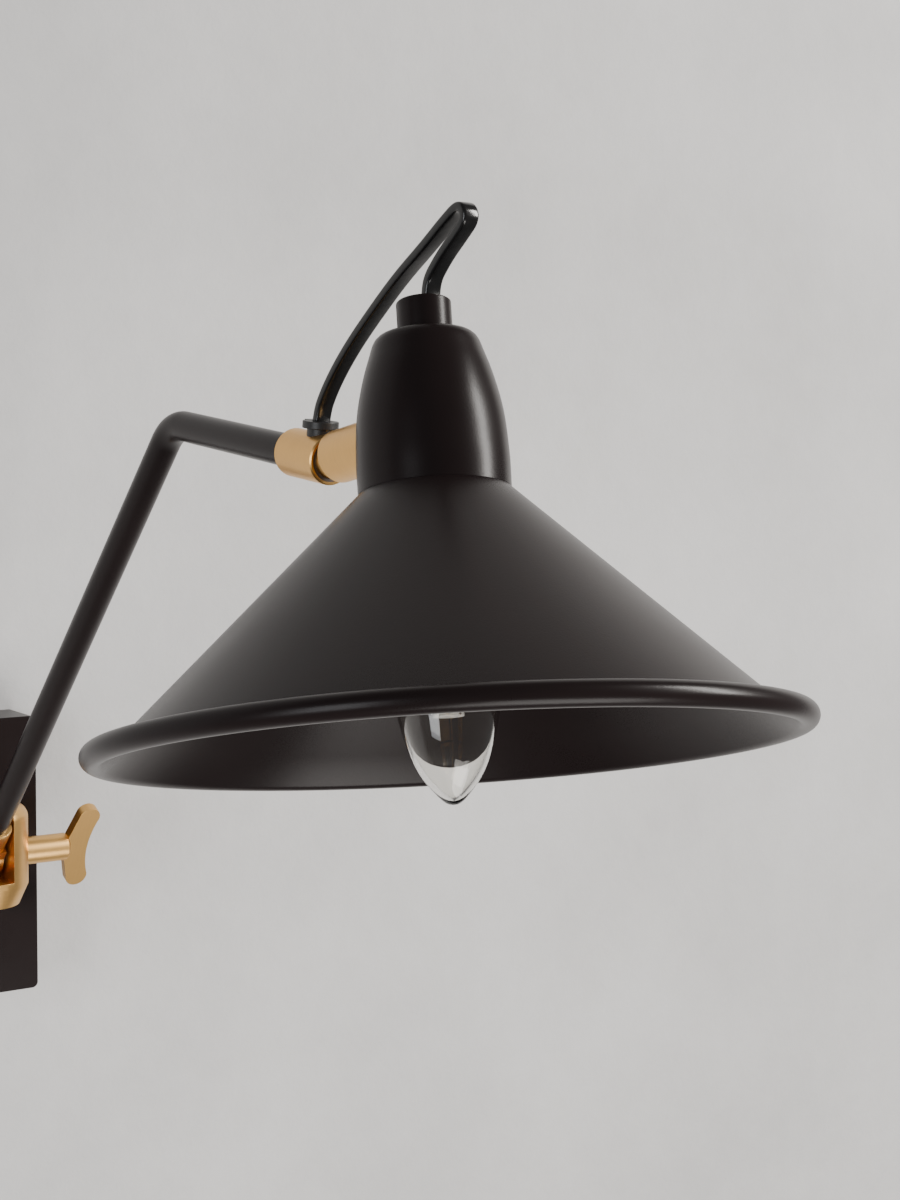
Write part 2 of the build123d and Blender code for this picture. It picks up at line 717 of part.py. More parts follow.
# --------------------------------------------------------------------------- cone shade
flange_hole_radius = holder_radius + free_gap
bead_centre = (rim_radius - rim_bead_radius, -shade_drop)
cone_start = (neck_radius, flange_top - edge_break)
bead_offset = rim_bead_radius - shade_wall - rim_overlap
bead_reach = hypot(bead_centre[0] - cone_start[0], bead_centre[1] - cone_start[1])
bead_angle = atan2(bead_centre[1] - cone_start[1], bead_centre[0] - cone_start[0])
cone_slope = bead_angle - asin(bead_offset / bead_reach)
cone_length = bead_reach * cos(bead_angle - cone_slope)
cone_end = (cone_start[0] + cone_length * cos(cone_slope), cone_start[1] + cone_length * sin(cone_slope))
wall_across = (shade_wall * sin(cone_slope), -shade_wall * cos(cone_slope))
flange_foot = flange_top - shade_wall
flange_reach = neck_radius + wall_across[0] + (flange_foot - wall_across[1]) / tan(cone_slope)
with BuildPart() as cone_shade:
    with BuildSketch(head_section):
        with BuildLine():
            Polyline((flange_hole_radius, flange_top), (neck_radius - edge_break, flange_top),
                     cone_start, cone_end, (cone_end[0] + wall_across[0], cone_end[1] + wall_across[1]),
                     (flange_reach, flange_foot), (flange_hole_radius, flange_foot),
                     (flange_hole_radius, flange_top))
        make_face()
        with Locations(bead_centre):
            Circle(rim_bead_radius)
    revolve(axis=head_axis)
save(cone_shade, "cone_shade")

# --------------------------------------------------------------------------- top collar
collar_nut_height = 5.0
nipple_top = bell_height + collar_height - slot_depth - 2 * free_gap
nipple_foot = holder_top - 4.0
collar_plane = head.offset(bell_height)
with BuildPart() as cable_collar:
    with BuildSketch(collar_plane):
        Circle(collar_radius)
    extrude(amount=collar_height)
    chamfer(cable_collar.faces().sort_by(head_axis)[-1].edges(), edge_break)
    with BuildSketch(collar_plane):
        Circle(nipple_radius)
    extrude(amount=collar_height - slot_depth + slip, mode=Mode.SUBTRACT)
    with BuildSketch(cable_section(cable_in - entry_dir * slot_depth, entry_dir)):
        Rectangle(cable_width + 2 * cable_room, cable_thickness + 2 * cable_room)
    extrude(amount=slot_depth + cable_width, mode=Mode.SUBTRACT)
save(cable_collar, "cable_collar")

with BuildPart() as collar_nut:
    with BuildSketch(head.offset(bell_height - bell_wall)):
        RegularPolygon(collar_radius, 6)
        Circle(nipple_radius, mode=Mode.SUBTRACT)
    extrude(amount=-collar_nut_height)
save(collar_nut, "collar_nut")

with BuildPart() as threaded_nipple:
    with BuildSketch(head.offset(nipple_foot)):
        Circle(nipple_radius)
        Circle(nipple_bore, mode=Mode.SUBTRACT)
    extrude(amount=nipple_top - nipple_foot)
save(threaded_nipple, "threaded_nipple")

# --------------------------------------------------------------------------- lampholder
cap_foot = bulb_tip + bulb_length
holder_bore = cap_radius + free_gap
holder_split = 12.0
shoulder_radius = 16.5
shoulder_height = 2.0
contact_room = 2.6
cap_round = 4.0
ring_radius = 20.0
ring_height = 5.5
ring_grip_radius = 1.2
contact_thickness = 0.5
cap_stud_radius = 2.2
with BuildPart() as holder_body:
    with BuildSketch(head.offset(holder_mouth)):
        Circle(holder_radius)
    extrude(amount=holder_split - holder_mouth)
    with BuildSketch(head.offset(flange_top)):
        Circle(shoulder_radius)
    extrude(amount=shoulder_height)
    with BuildSketch(head.offset(holder_mouth)):
        Circle(holder_bore)
    extrude(amount=cap_foot - holder_mouth + contact_room, mode=Mode.SUBTRACT)
save(holder_body, "holder_body")

with BuildPart() as holder_cap:
    with BuildSketch(head.offset(holder_split)):
        Circle(holder_radius)
    extrude(amount=holder_top - holder_split)
    fillet(holder_cap.faces().sort_by(head_axis)[-1].edges(), cap_round)
    with BuildSketch(head.offset(holder_split)):
        Circle(holder_radius - holder_wall)
    extrude(amount=nipple_foot - holder_split - holder_wall, mode=Mode.SUBTRACT)
    with BuildSketch(head.offset(holder_top)):
        Circle(nipple_radius)
    extrude(amount=-2 * (holder_top - nipple_foot), mode=Mode.SUBTRACT)
save(holder_cap, "holder_cap")

with BuildPart() as shade_ring:
    with BuildSketch(head.offset(flange_foot)):
        Circle(ring_radius)
        Circle(holder_radius, mode=Mode.SUBTRACT)
        with PolarLocations(ring_radius, 12):
            Circle(ring_grip_radius, mode=Mode.SUBTRACT)
    extrude(amount=-ring_height)
save(shade_ring, "shade_ring")

with BuildPart() as holder_contact:
    with BuildSketch(head.offset(cap_foot + contact_room)):
        Rectangle(1.5 * cap_radius, cap_stud_radius)
    extrude(amount=-contact_thickness)
    with BuildSketch(head.offset(cap_foot)):
        Circle(cap_stud_radius)
    extrude(amount=contact_room - contact_thickness)
save(holder_contact, "holder_contact")

# --------------------------------------------------------------------------- candle bulb
insulator_height = 1.8
cap_stud_height = 0.8
cap_top = cap_foot - insulator_height - cap_stud_height
cap_shell = 0.4
thread_pitch = 2.82
thread_land = 1.6
thread_groove = 1.2
cap_shell_length = cap_length + cap_top - cap_foot
with BuildPart() as bulb_cap:
    with BuildSketch(head.offset(cap_top)):
        Circle(cap_radius)
    extrude(amount=-cap_shell_length)
    for turn in range(5):
        with BuildSketch(head.offset(cap_top - thread_land - turn * thread_pitch)):
            Circle(cap_radius + slip)
            Circle(cap_radius - cap_shell, mode=Mode.SUBTRACT)
        extrude(amount=-thread_groove, mode=Mode.SUBTRACT)
    with BuildSketch(head.offset(cap_top - cap_shell_length)):
        Circle(cap_radius - 2 * cap_shell)
    extrude(amount=cap_shell_length - cap_shell, mode=Mode.SUBTRACT)
save(bulb_cap, "bulb_cap")

with BuildPart() as bulb_contact:
    with BuildSketch(head.offset(cap_top)):
        Circle(0.68 * cap_radius)
    extrude(amount=insulator_height, taper=24)
    with BuildSketch(head.offset(cap_top + insulator_height)):
        Circle(cap_stud_radius)
    extrude(amount=cap_stud_height)
save(bulb_contact, "bulb_contact")

glass_top = cap_foot - cap_length + 1.0
glass_foot_radius = cap_radius - 2 * cap_shell - slip


def candle(inset):
    """Half outline of the candle glass, moved inwards by this much."""
    foot = (glass_foot_radius - inset, glass_top - inset)
    tip = (0, bulb_tip + inset)
    neck_point = (0.55 * bulb_radius - inset, glass_top - 9)
    waist_point = (0.91 * bulb_radius - inset, glass_top - 24)
    belly_point = (bulb_radius - inset, glass_top - 38)
    cheek_point = (0.91 * bulb_radius - inset, glass_top - 52)
    taper_point = (0.66 * bulb_radius - inset, glass_top - 66)
    tip_point = (0.33 * bulb_radius - inset, glass_top - 75)
    Line((0, foot[1]), foot)
    Spline(foot, neck_point, waist_point, belly_point, cheek_point, taper_point, tip_point, tip,
           tangents=((0, -1), (-1, 0)))
    Line(tip, (0, foot[1]))


with BuildPart() as bulb_glass:
    with BuildSketch(head_section):
        with BuildLine():
            candle(0)
        make_face()
    revolve(axis=head_axis)
    with BuildSketch(head_section):
        with BuildLine():
            candle(glass_wall)
        make_face()
    revolve(axis=head_axis, mode=Mode.SUBTRACT)
save(bulb_glass, "bulb_glass")

filament_length = 28.0
filament_foot = -70.1
filament_circle = 4.2
filament_radius = 0.9
hub_thickness = 0.8
mount_radius = 5.0
mount_thickness = 1.2
rod_radius = 2.6
core_radius = 0.6
stem_top = glass_top - glass_wall
with BuildPart() as bulb_stem:
    with BuildSketch(head.offset(stem_top)):
        Circle(mount_radius)
    extrude(amount=-mount_thickness)
    with BuildSketch(head.offset(stem_top - mount_thickness)):
        Circle(rod_radius)
    extrude(amount=filament_foot + filament_length + hub_thickness - stem_top + mount_thickness)
    with BuildSketch(head.offset(filament_foot + filament_length + hub_thickness)):
        Circle(filament_circle + filament_radius)
    extrude(amount=-hub_thickness)
    with BuildSketch(head.offset(filament_foot + filament_length)):
        Circle(core_radius)
    extrude(amount=-filament_length)
    with BuildSketch(head.offset(filament_foot)):
        Circle(filament_circle + filament_radius)
    extrude(amount=-hub_thickness)
save(bulb_stem, "bulb_stem")

with BuildPart() as filaments:
    with BuildSketch(head.offset(filament_foot)):
        with PolarLocations(filament_circle, 4, start_angle=45):
            Circle(filament_radius)
    extrude(amount=filament_length)
save(filaments, "filaments")

# --------------------------------------------------------------------------- flat cable
loop_start = loop_plane.to_local_coords(cable_exit - upper_up * cable_tail)
entry_over = loop_plane.to_local_coords(cable_in + entry_dir * cable_lead)
entry_end = loop_plane.to_local_coords(cable_in - entry_dir * cable_tail)
loop_points = [
    (loop_start.X, loop_start.Y), (0.4, 2.6), (4.6, 9.8), (12.0, 18.6), (21.4, 27.6), (33.4, 37.4),
    (46.4, 47.4), (60.0, 56.0), (70.2, 63.2), (78.6, 68.4), (82.0, 63.6), (75.6, 58.0),
    (68.0, 51.8), (entry_over.X, entry_over.Y), (entry_end.X, entry_end.Y),
]


def corner_radii(points):
    """The largest tangent arc that each corner's two runs leave room for."""
    radii = []
    for before, here, after in zip(points, points[1:], points[2:]):
        run_in = Vector(here[0] - before[0], here[1] - before[1], 0)
        run_out = Vector(after[0] - here[0], after[1] - here[1], 0)
        turn = radians(run_in.get_angle(run_out))
        radii.append(0.45 * min(run_in.length, run_out.length) / tan(0.5 * turn))
    return radii


loop_radii = corner_radii(loop_points)
print("cable radii", [round(radius, 1) for radius in loop_radii])
with BuildPart() as loop_cable:
    with BuildLine(loop_plane) as loop_path:
        FilletPolyline(*loop_points, radius=loop_radii)
    with BuildSketch(Plane(origin=loop_path.wire() @ 0, x_dir=loop_plane.z_dir, z_dir=loop_path.wire() % 0)):
        Rectangle(cable_width, cable_thickness)
    sweep()
save(loop_cable, "loop_cable")
loop_wire = loop_path.wire()
cable_length = loop_wire.length
print("cable length", round(cable_length, 1), "volume ratio",
      round(loop_cable.part.volume / (cable_length * cable_width * cable_thickness), 4))
print("cable start", loop_wire @ 0, "end", loop_wire @ 1)
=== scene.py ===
# %% [markdown]
# # A swing arm wall sconce
# A black box on the wall carries a turned brass fork. A bent tube arm is clamped in the fork by a wing
# screw, and its far end holds a brass ball joint, a bell and a wide cone shade with a candle bulb.
# The engineering model is loaded first and never moved. Each piece below is either one of its nodes with a
# better finish, or a finer piece that stands for the node in the same place.

# %% Load the frame
from math import asin, atan2, cos, pi, radians, sin, sqrt

import bmesh
import bpy
from mathutils import Matrix, Vector
from mathutils.geometry import interpolate_bezier


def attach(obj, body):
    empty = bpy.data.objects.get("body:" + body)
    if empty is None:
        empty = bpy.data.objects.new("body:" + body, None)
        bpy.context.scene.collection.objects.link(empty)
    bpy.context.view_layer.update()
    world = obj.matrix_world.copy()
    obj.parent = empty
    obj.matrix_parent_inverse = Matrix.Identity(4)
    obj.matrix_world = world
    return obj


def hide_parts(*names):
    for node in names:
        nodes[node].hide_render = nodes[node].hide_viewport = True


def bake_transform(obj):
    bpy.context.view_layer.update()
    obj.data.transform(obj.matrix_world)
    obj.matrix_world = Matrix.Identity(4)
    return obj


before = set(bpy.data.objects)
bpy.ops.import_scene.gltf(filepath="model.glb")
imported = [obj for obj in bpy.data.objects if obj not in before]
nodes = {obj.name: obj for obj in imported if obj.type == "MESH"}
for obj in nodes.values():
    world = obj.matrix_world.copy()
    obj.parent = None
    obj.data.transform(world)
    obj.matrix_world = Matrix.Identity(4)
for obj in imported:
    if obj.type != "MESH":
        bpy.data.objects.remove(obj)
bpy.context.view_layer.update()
MM = 0.001

# %% [markdown]
# ## Where things are
# The lamp is built from a few lines in space: the fork's pivot, the two straight runs of the arm, and the
# shade's own leaning axis. Naming them once lets every piece be placed by the same numbers.

# %% The lamp's own axes
PIVOT = Vector((0.0, -0.05615, 0.0072))
NECK = Vector((-0.000329, -0.460113, 0.195730))
SHADE_UP = Vector((0.084437, 0.247802, 0.965124)).normalized()
BARREL_WAY = Vector((0.025308, -0.983691, 0.178078)).normalized()


def arm_way(rise):
    """The way out from the wall at this many degrees of climb."""
    return Vector((0.0, -cos(radians(rise)), sin(radians(rise))))


LOWER_WAY, UPPER_WAY, UPPER_UP = arm_way(44.6), arm_way(-6.0), arm_way(84.0)
BEND = PIVOT + LOWER_WAY * 0.302


def stand(origin, axis):
    """The matrix that puts a piece turned about Z on this origin and axis."""
    side = (Vector((1, 0, 0)) - axis * axis.x).normalized()
    turned = Matrix((side, axis.cross(side), axis)).transposed()
    return Matrix.Translation(origin) @ turned.to_4x4()


print("bend", [round(v, 4) for v in BEND])

# %% [markdown]
# ## Shader maths as plain expressions
# A finish is a small sum: a base value, plus grain, plus wear. Written as node calls, such a sum is hard to
# read, so one class wraps an output socket and turns + - * / into Math nodes. Every other node comes
# from a single method that sets the node's settings first and then its sockets.

# %% The Signal and Bench classes
class Signal:
    """An output socket, used as a number in an expression."""

    def __init__(self, bench, socket):
        self.bench, self.socket = bench, socket

    def _maths(self, operation, first, second):
        return self.bench.node("ShaderNodeMath", {"operation": operation}, {0: first, 1: second})

    def __add__(self, other): return self._maths("ADD", self, other)
    def __radd__(self, other): return self._maths("ADD", other, self)
    def __sub__(self, other): return self._maths("SUBTRACT", self, other)
    def __rsub__(self, other): return self._maths("SUBTRACT", other, self)
    def __mul__(self, other): return self._maths("MULTIPLY", self, other)
    def __rmul__(self, other): return self._maths("MULTIPLY", other, self)
    def __truediv__(self, other): return self._maths("DIVIDE", self, other)
    def clamped(self): return self.bench.node("ShaderNodeClamp", {}, {"Value": self})


class Bench:
    """The node tree of one finish."""

    def __init__(self, name):
        self.material = bpy.data.materials.new(name)
        self.material.use_nodes = True
        self.tree = self.material.node_tree
        self.tree.nodes.clear()

    def node(self, kind, settings, inputs, output=0):
        made = self.tree.nodes.new(kind)
        for key, value in settings.items():
            if key == "stops":
                for spare in list(made.color_ramp.elements)[2:]:
                    made.color_ramp.elements.remove(spare)
                while len(made.color_ramp.elements) < len(value):
                    made.color_ramp.elements.new(0.5)
                for element, (place, colour) in zip(made.color_ramp.elements, value):
                    element.position, element.color = place, (*colour, 1.0)
            else:
                setattr(made, key, value)
        for key, value in inputs.items():
            socket = made.inputs[key]
            if isinstance(value, Signal):
                self.tree.links.new(value.socket, socket)
            else:
                socket.default_value = value
        return Signal(self, made.outputs[output])

    def place(self):
        """Object coordinates: metres in the lamp's own frame."""
        return self.node("ShaderNodeTexCoord", {}, {}, "Object")

    def noise(self, where, scale, detail=2.0, rough=0.5):
        return self.node("ShaderNodeTexNoise", {}, {"Vector": where, "Scale": scale, "Detail": detail,
                                                    "Roughness": rough}, "Fac")

    def mix(self, amount, first, second):
        return self.node("ShaderNodeMix", {"data_type": "RGBA"}, {0: amount, 6: first, 7: second}, 2)

    def along(self, axis):
        """How far each point lies along an axis, in metres."""
        return self.node("ShaderNodeVectorMath", {"operation": "DOT_PRODUCT"},
                         {0: self.place(), 1: tuple(axis)}, "Value")

    def bump(self, height, depth):
        return self.node("ShaderNodeBump", {}, {"Height": height, "Strength": 1.0, "Distance": depth})

    def finish(self, inputs):
        surface = self.node("ShaderNodeBsdfPrincipled", {}, inputs)
        out = self.tree.nodes.new("ShaderNodeOutputMaterial")
        self.tree.links.new(surface.socket, out.inputs["Surface"])
        return self.material


# %% [markdown]
# ## Black powder coat
# The box, tube, bell and shade are sprayed with the same satin near-black powder. Baked powder isn't
# flat: it has a fine orange peel, and its sheen drifts a little from place to place. Noise at two scales
# gives both, one in the bump and one in the roughness.

# %% Powder coat
def powder_coat(name, tone, sheen):
    bench = Bench(name)
    place = bench.place()
    drift = bench.noise(place, 22.0, 3.0)
    peel = bench.noise(place, 1500.0, 2.0)
    speck = bench.noise(place, 3600.0, 1.0)
    darker = tuple(0.82 * v for v in tone)
    lighter = tuple(1.14 * v for v in tone)
    colour = bench.mix(drift, (*darker, 1), (*lighter, 1))
    return bench.finish({"Base Color": colour, "Roughness": sheen + 0.10 * (drift - 0.5) + 0.05 * speck,
                         "Normal": bench.bump(peel * 0.8 + speck * 0.2, 0.000022),
                         "Specular IOR Level": 0.17})


BLACK = powder_coat("satin_black_powder", (0.0140, 0.0092, 0.0092), 0.27)

# %% [markdown]
# ## Turned brass
# Brass turned on a lathe keeps fine rings square to the axis it was turned about, and they stretch the
# highlight along the piece. The rings are a one-dimensional noise: it reads only how far a point lies
# along that axis, so each turned piece has its own copy with its own axis. A slower cloud of
# tarnish warms and dulls it in patches.

# %% Turned brass
def turned_brass(name, axis, ring_scale=5200.0, ring_depth=0.000012):
    bench = Bench(name)
    reach = bench.along(axis)
    lane = bench.node("ShaderNodeCombineXYZ", {}, {"X": reach})
    rings = bench.noise(lane, ring_scale, 3.0, 0.65)
    broad = bench.noise(lane, 900.0, 2.0, 0.6)
    tarnish = bench.noise(bench.place(), 60.0, 4.0, 0.6)
    fresh = bench.mix(tarnish, (0.93, 0.57, 0.20, 1), (0.78, 0.45, 0.15, 1))
    colour = bench.mix((broad * 0.45).clamped(), fresh, (0.60, 0.36, 0.14, 1))
    return bench.finish({"Base Color": colour, "Metallic": 1.0,
                         "Roughness": 0.25 + 0.16 * rings + 0.10 * tarnish,
                         "Normal": bench.bump(rings * 0.7 + broad * 0.3, ring_depth)})


BRASS_UP = turned_brass("brass_turned_upright", (0, 0, 1))
BRASS_SIDE = turned_brass("brass_turned_sideways", (1, 0, 0))
BRASS_ARM = turned_brass("brass_turned_on_arm", UPPER_WAY)
BRASS_LOWER = turned_brass("brass_turned_on_lower_arm", LOWER_WAY)
BRASS_BARREL = turned_brass("brass_turned_barrel", BARREL_WAY)
BRASS_HEAD = turned_brass("brass_turned_collar", SHADE_UP)

# %% [markdown]
# ## Plastics, rubber, glass and plated steel
# The small pieces differ more in sheen than in colour. Moulded plastic has a fine spark texture, the
# cable's sheath is glossy and slightly wavy, zinc plating is cloudy, and the phosphor on the filaments is
# a rough, waxy orange.

# %% Small finishes
def grained(name, tone, sheen, scale, depth, spread=0.12, **constants):
    bench = Bench(name)
    place = bench.place()
    grain = bench.noise(place, scale, 3.0, 0.6)
    cloud = bench.noise(place, scale * 0.06, 2.0)
    low = tuple((1 - spread) * v for v in tone)
    high = tuple(min(1.0, (1 + spread) * v) for v in tone)
    return bench.finish({"Base Color": bench.mix(cloud, (*low, 1), (*high, 1)),
                         "Roughness": sheen + 0.14 * (grain - 0.5),
                         "Normal": bench.bump(grain, depth), **constants})


MOULDED = grained("black_moulded_plastic", (0.018, 0.017, 0.017), 0.44, 1500.0, 0.00004)
SHEATH = grained("cable_sheath", (0.010, 0.0095, 0.0095), 0.20, 420.0, 0.00003)
WHITE_PLASTIC = grained("terminal_plastic", (0.74, 0.72, 0.66), 0.42, 1400.0, 0.00003)
NYLON = grained("washer_nylon", (0.10, 0.085, 0.075), 0.50, 900.0, 0.00003)
ZINC = grained("zinc_plate", (0.58, 0.58, 0.55), 0.34, 700.0, 0.00002, Metallic=1.0)
BLACK_STEEL = grained("blackened_steel", (0.035, 0.033, 0.032), 0.36, 900.0, 0.00002, Metallic=0.6)
CAP_METAL = grained("lamp_cap_metal", (0.66, 0.64, 0.60), 0.30, 600.0, 0.00002, Metallic=1.0)
PHOSPHOR = grained("filament_phosphor", (0.95, 0.42, 0.05), 0.60, 1800.0, 0.00005, spread=0.25)


def clear_glass(name, tint, sheen):
    bench = Bench(name)
    wave = bench.noise(bench.place(), 90.0, 2.0)
    return bench.finish({"Base Color": (*tint, 1), "Roughness": sheen + 0.02 * wave,
                         "Transmission Weight": 1.0, "IOR": 1.45,
                         "Normal": bench.bump(wave, 0.00003)})


GLASS = clear_glass("bulb_clear_glass", (0.97, 0.96, 0.93), 0.01)
STEM_GLASS = clear_glass("bulb_stem_glass", (0.93, 0.92, 0.88), 0.06)
print("finishes", len(bpy.data.materials))
# %% [markdown]
# ## Finishes for the carried-over nodes
# Hidden fixings, washers and the lampholder have the right shape already. They keep their mesh and get
# a finish, one table row for each kind of stuff.

# %% Dress the nodes
DRESS = {
    ZINC: ("mounting_bracket", "earth_screw", "terminal_screws", "stem_washer", "stem_nut", "barrel_screw",
           "barrel_washer", "collar_nut", "threaded_nipple"),
    BLACK_STEEL: ("cover_screws", "sleeve_grub_screw"),
    WHITE_PLASTIC: ("terminal_block",),
    NYLON: ("swing_washers", "friction_washers", "ball_seat"),
    MOULDED: ("cable_grommet", "holder_body", "holder_cap", "shade_ring"),
    BLACK: ("backplate", "arm_tube", "shade_bell", "cone_shade", "cable_collar"),
    BRASS_UP: ("wall_stem", "swivel_fork", "swing_pin"),
    BRASS_SIDE: ("wing_screw", "clamp_nut"),
    BRASS_LOWER: ("arm_knuckle",),
    BRASS_ARM: ("swivel_sleeve",),
    BRASS_BARREL: ("ball_stud", "side_barrel"),
    BRASS_HEAD: ("holder_contact",),
    CAP_METAL: ("bulb_cap", "bulb_contact"),
    GLASS: ("bulb_glass",),
    STEM_GLASS: ("bulb_stem",),
    PHOSPHOR: ("filaments",),
    SHEATH: ("loop_cable",),
}
for finish, names in DRESS.items():
    for name in names:
        nodes[name].data.materials.clear()
        nodes[name].data.materials.append(finish)
print("dressed", sum(len(names) for names in DRESS.values()), "nodes of", len(nodes))

# %% [markdown]
# ## Broken edges
# No machined or pressed edge is truly sharp. A copy of a node's mesh has its loose triangles merged into
# whole faces, and a Bevel modifier rounds every edge that turns by more than a set angle. The
# rounded edge catches the light, which is most of what makes metal look like metal.

# %% Helpers that keep a piece and round its edges
def keep(piece, body, slot_name, *node_names):
    """A finished piece rides on its body and stands for its nodes."""
    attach(piece, body)
    if node_names:
        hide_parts(*node_names)
    print(piece.name, len(piece.data.polygons), "faces")
    return piece


def object_from(name, shape, finish, sharp_angle=32.0):
    """An object from a bmesh, smooth apart from its sharp edges."""
    mesh = bpy.data.meshes.new(name)
    shape.to_mesh(mesh)
    shape.free()
    mesh.materials.append(finish)
    mesh.shade_smooth()
    mesh.set_sharp_from_angle(angle=radians(sharp_angle))
    piece = bpy.data.objects.new(name, mesh)
    bpy.context.scene.collection.objects.link(piece)
    return piece


def eased(name, node, finish, width, steps=3, turn=28.0):
    """A copy of a node with its edges rounded by this width in metres."""
    shape = bmesh.new()
    shape.from_mesh(nodes[node].data)
    bmesh.ops.remove_doubles(shape, verts=shape.verts, dist=2e-6)
    bmesh.ops.dissolve_limit(shape, angle_limit=radians(0.6), verts=shape.verts, edges=shape.edges)
    piece = object_from(name, shape, finish, turn)
    rounder = piece.modifiers.new("round", "BEVEL")
    rounder.width, rounder.segments = width, steps
    rounder.limit_method, rounder.angle_limit = "ANGLE", radians(turn)
    rounder.use_clamp_overlap, rounder.harden_normals = True, True
    solid = bpy.data.meshes.new_from_object(piece.evaluated_get(bpy.context.evaluated_depsgraph_get()))
    piece.modifiers.clear()
    piece.data = solid
    return piece


# %% The machined and pressed pieces
for name, node, finish, width, body, slot_name in (
        ("wall_box", "backplate", BLACK, 0.0007, "wall_base", "black_paint"),
        ("fork_with_broken_edges", "swivel_fork", BRASS_UP, 0.0004, "fork", "brass"),
        ("stem_and_flange", "wall_stem", BRASS_UP, 0.0003, "wall_base", "brass"),
        ("hex_clamp_nut", "clamp_nut", BRASS_SIDE, 0.0003, "fork", "brass"),
        ("wing_screw_rounded", "wing_screw", BRASS_SIDE, 0.0006, "wing_screw_body", "brass"),
        ("arm_eye_and_ferrule", "arm_knuckle", BRASS_LOWER, 0.0003, "arm", "brass"),
        ("sleeve_rounded", "swivel_sleeve", BRASS_ARM, 0.0002, "wrist", "brass"),
        ("grommet_rounded", "cable_grommet", MOULDED, 0.0003, "wrist", "black_plastic"),
        ("barrel_rounded", "side_barrel", BRASS_BARREL, 0.0002, "head", "brass"),
        ("collar_rounded", "cable_collar", BLACK, 0.0004, "head", "black_paint")):
    keep(eased(name, node, finish, width), body, slot_name, node)

# %% [markdown]
# ## Spun sheet metal
# The bell and the cone are spun: a disc is pressed over a turning former, so each is one half outline
# turned about the axis. A small lathe function does the same. Spinning leaves very faint rings, and the
# rim is rolled over a wire, which the outline draws as a nearly closed circle.

# %% The lathe
def lathe(name, outline, matrix, finish, steps=144, closed=True, sharp_angle=32.0):
    """Turn a half outline of (radius, height) pairs in millimetres about the matrix's Z axis."""
    shape = bmesh.new()
    rings = []
    for radius, height in outline:
        if radius < 1e-6:
            rings.append([shape.verts.new((0, 0, height * MM))] * steps)
        else:
            rings.append([shape.verts.new((radius * MM * cos(2 * pi * k / steps),
                                           radius * MM * sin(2 * pi * k / steps), height * MM))
                          for k in range(steps)])
    pairs = list(zip(rings, rings[1:])) + ([(rings[-1], rings[0])] if closed else [])
    for low, high in pairs:
        for k in range(steps):
            corners = list(dict.fromkeys((low[k], low[(k + 1) % steps], high[(k + 1) % steps], high[k])))
            if len(corners) > 2:
                shape.faces.new(corners)
    if shape.calc_volume(signed=True) < 0:
        bmesh.ops.reverse_faces(shape, faces=shape.faces)
    bmesh.ops.transform(shape, matrix=matrix, verts=shape.verts)
    return object_from(name, shape, finish, sharp_angle)


def curve_through(points, first_way, last_way, steps=7):
    """A smooth run through (x, y) points, given the ways it sets out and arrives."""
    line = [Vector((*p, 0)) for p in points]
    ways = [(after - before) * 0.5 for before, after in zip(line, line[2:])]
    ways = [Vector((*first_way, 0)).normalized() * (line[1] - line[0]).length] + ways
    ways.append(Vector((*last_way, 0)).normalized() * (line[-1] - line[-2]).length)
    run = [line[0]]
    for here, there, way_in, way_out in zip(line, line[1:], ways, ways[1:]):
        run += interpolate_bezier(here, here + way_in / 3, there - way_out / 3, there, steps)[1:]
    return [(p.x, p.y) for p in run]


HEAD = stand(NECK, SHADE_UP)

# %% The bell
bell_side = curve_through([(24.7, 1.0), (24.7, 13.8), (23.4, 29.0), (19.3, 45.0), (14.5, 53.0)],
                          (0, 1), (-1, 0.12))
bell_outline = [(13.0, 51.5), (5.1, 51.5), (5.1, 53.0)] + [(14.0, 53.0)] + bell_side[::-1]
bell_outline += [(23.2, 1.0)] + [(r - 1.5, h - 0.3) for r, h in bell_side[2:-4]]
bell = lathe("spun_bell", bell_outline, HEAD, BLACK)
keep(bell, "head", "black_paint", "shade_bell")

# %% The cone and its rolled rim
WALL, BEAD, TUCK = 1.2, 3.8, 0.15
bead_middle, neck_edge = (110.6, -79.2), (25.1, 0.5)
reach = sqrt((bead_middle[0] - neck_edge[0]) ** 2 + (bead_middle[1] - neck_edge[1]) ** 2)
sight = atan2(bead_middle[1] - neck_edge[1], bead_middle[0] - neck_edge[0])
slope = sight - asin((BEAD - WALL - TUCK) / reach)
inward = (WALL * sin(slope), -WALL * cos(slope))
run = reach * cos(sight - slope)


def beside_bead(offset):
    """Where a line at this distance below the bead's middle meets the bead, seen from the neck."""
    along_run = run - sqrt(BEAD ** 2 - offset ** 2)
    drop = BEAD - WALL - TUCK - offset
    return (neck_edge[0] + along_run * cos(slope) - drop * sin(slope),
            neck_edge[1] + along_run * sin(slope) + drop * cos(slope))


outer_meet, inner_meet = beside_bead(BEAD - WALL - TUCK), beside_bead(BEAD - TUCK)
start_angle = atan2(outer_meet[1] - bead_middle[1], outer_meet[0] - bead_middle[0])
end_angle = atan2(inner_meet[1] - bead_middle[1], inner_meet[0] - bead_middle[0])
end_angle -= 2 * pi if end_angle > start_angle else 0.0
bead = [(bead_middle[0] + BEAD * cos(start_angle + (end_angle - start_angle) * t / 30),
         bead_middle[1] + BEAD * sin(start_angle + (end_angle - start_angle) * t / 30)) for t in range(31)]
side_run = [(neck_edge[0] + (outer_meet[0] - neck_edge[0]) * t / 9,
             neck_edge[1] + (outer_meet[1] - neck_edge[1]) * t / 9) for t in range(9)]
inner_run = [(inner_meet[0] + (25.6 - inner_meet[0]) * t / 9,
              inner_meet[1] + (-0.85 - inner_meet[1]) * t / 9) for t in range(1, 10)]
cone_outline = [(14.3, 1.0), (24.6, 1.0)] + side_run + bead + inner_run + [(24.6, -0.2), (14.3, -0.2)]
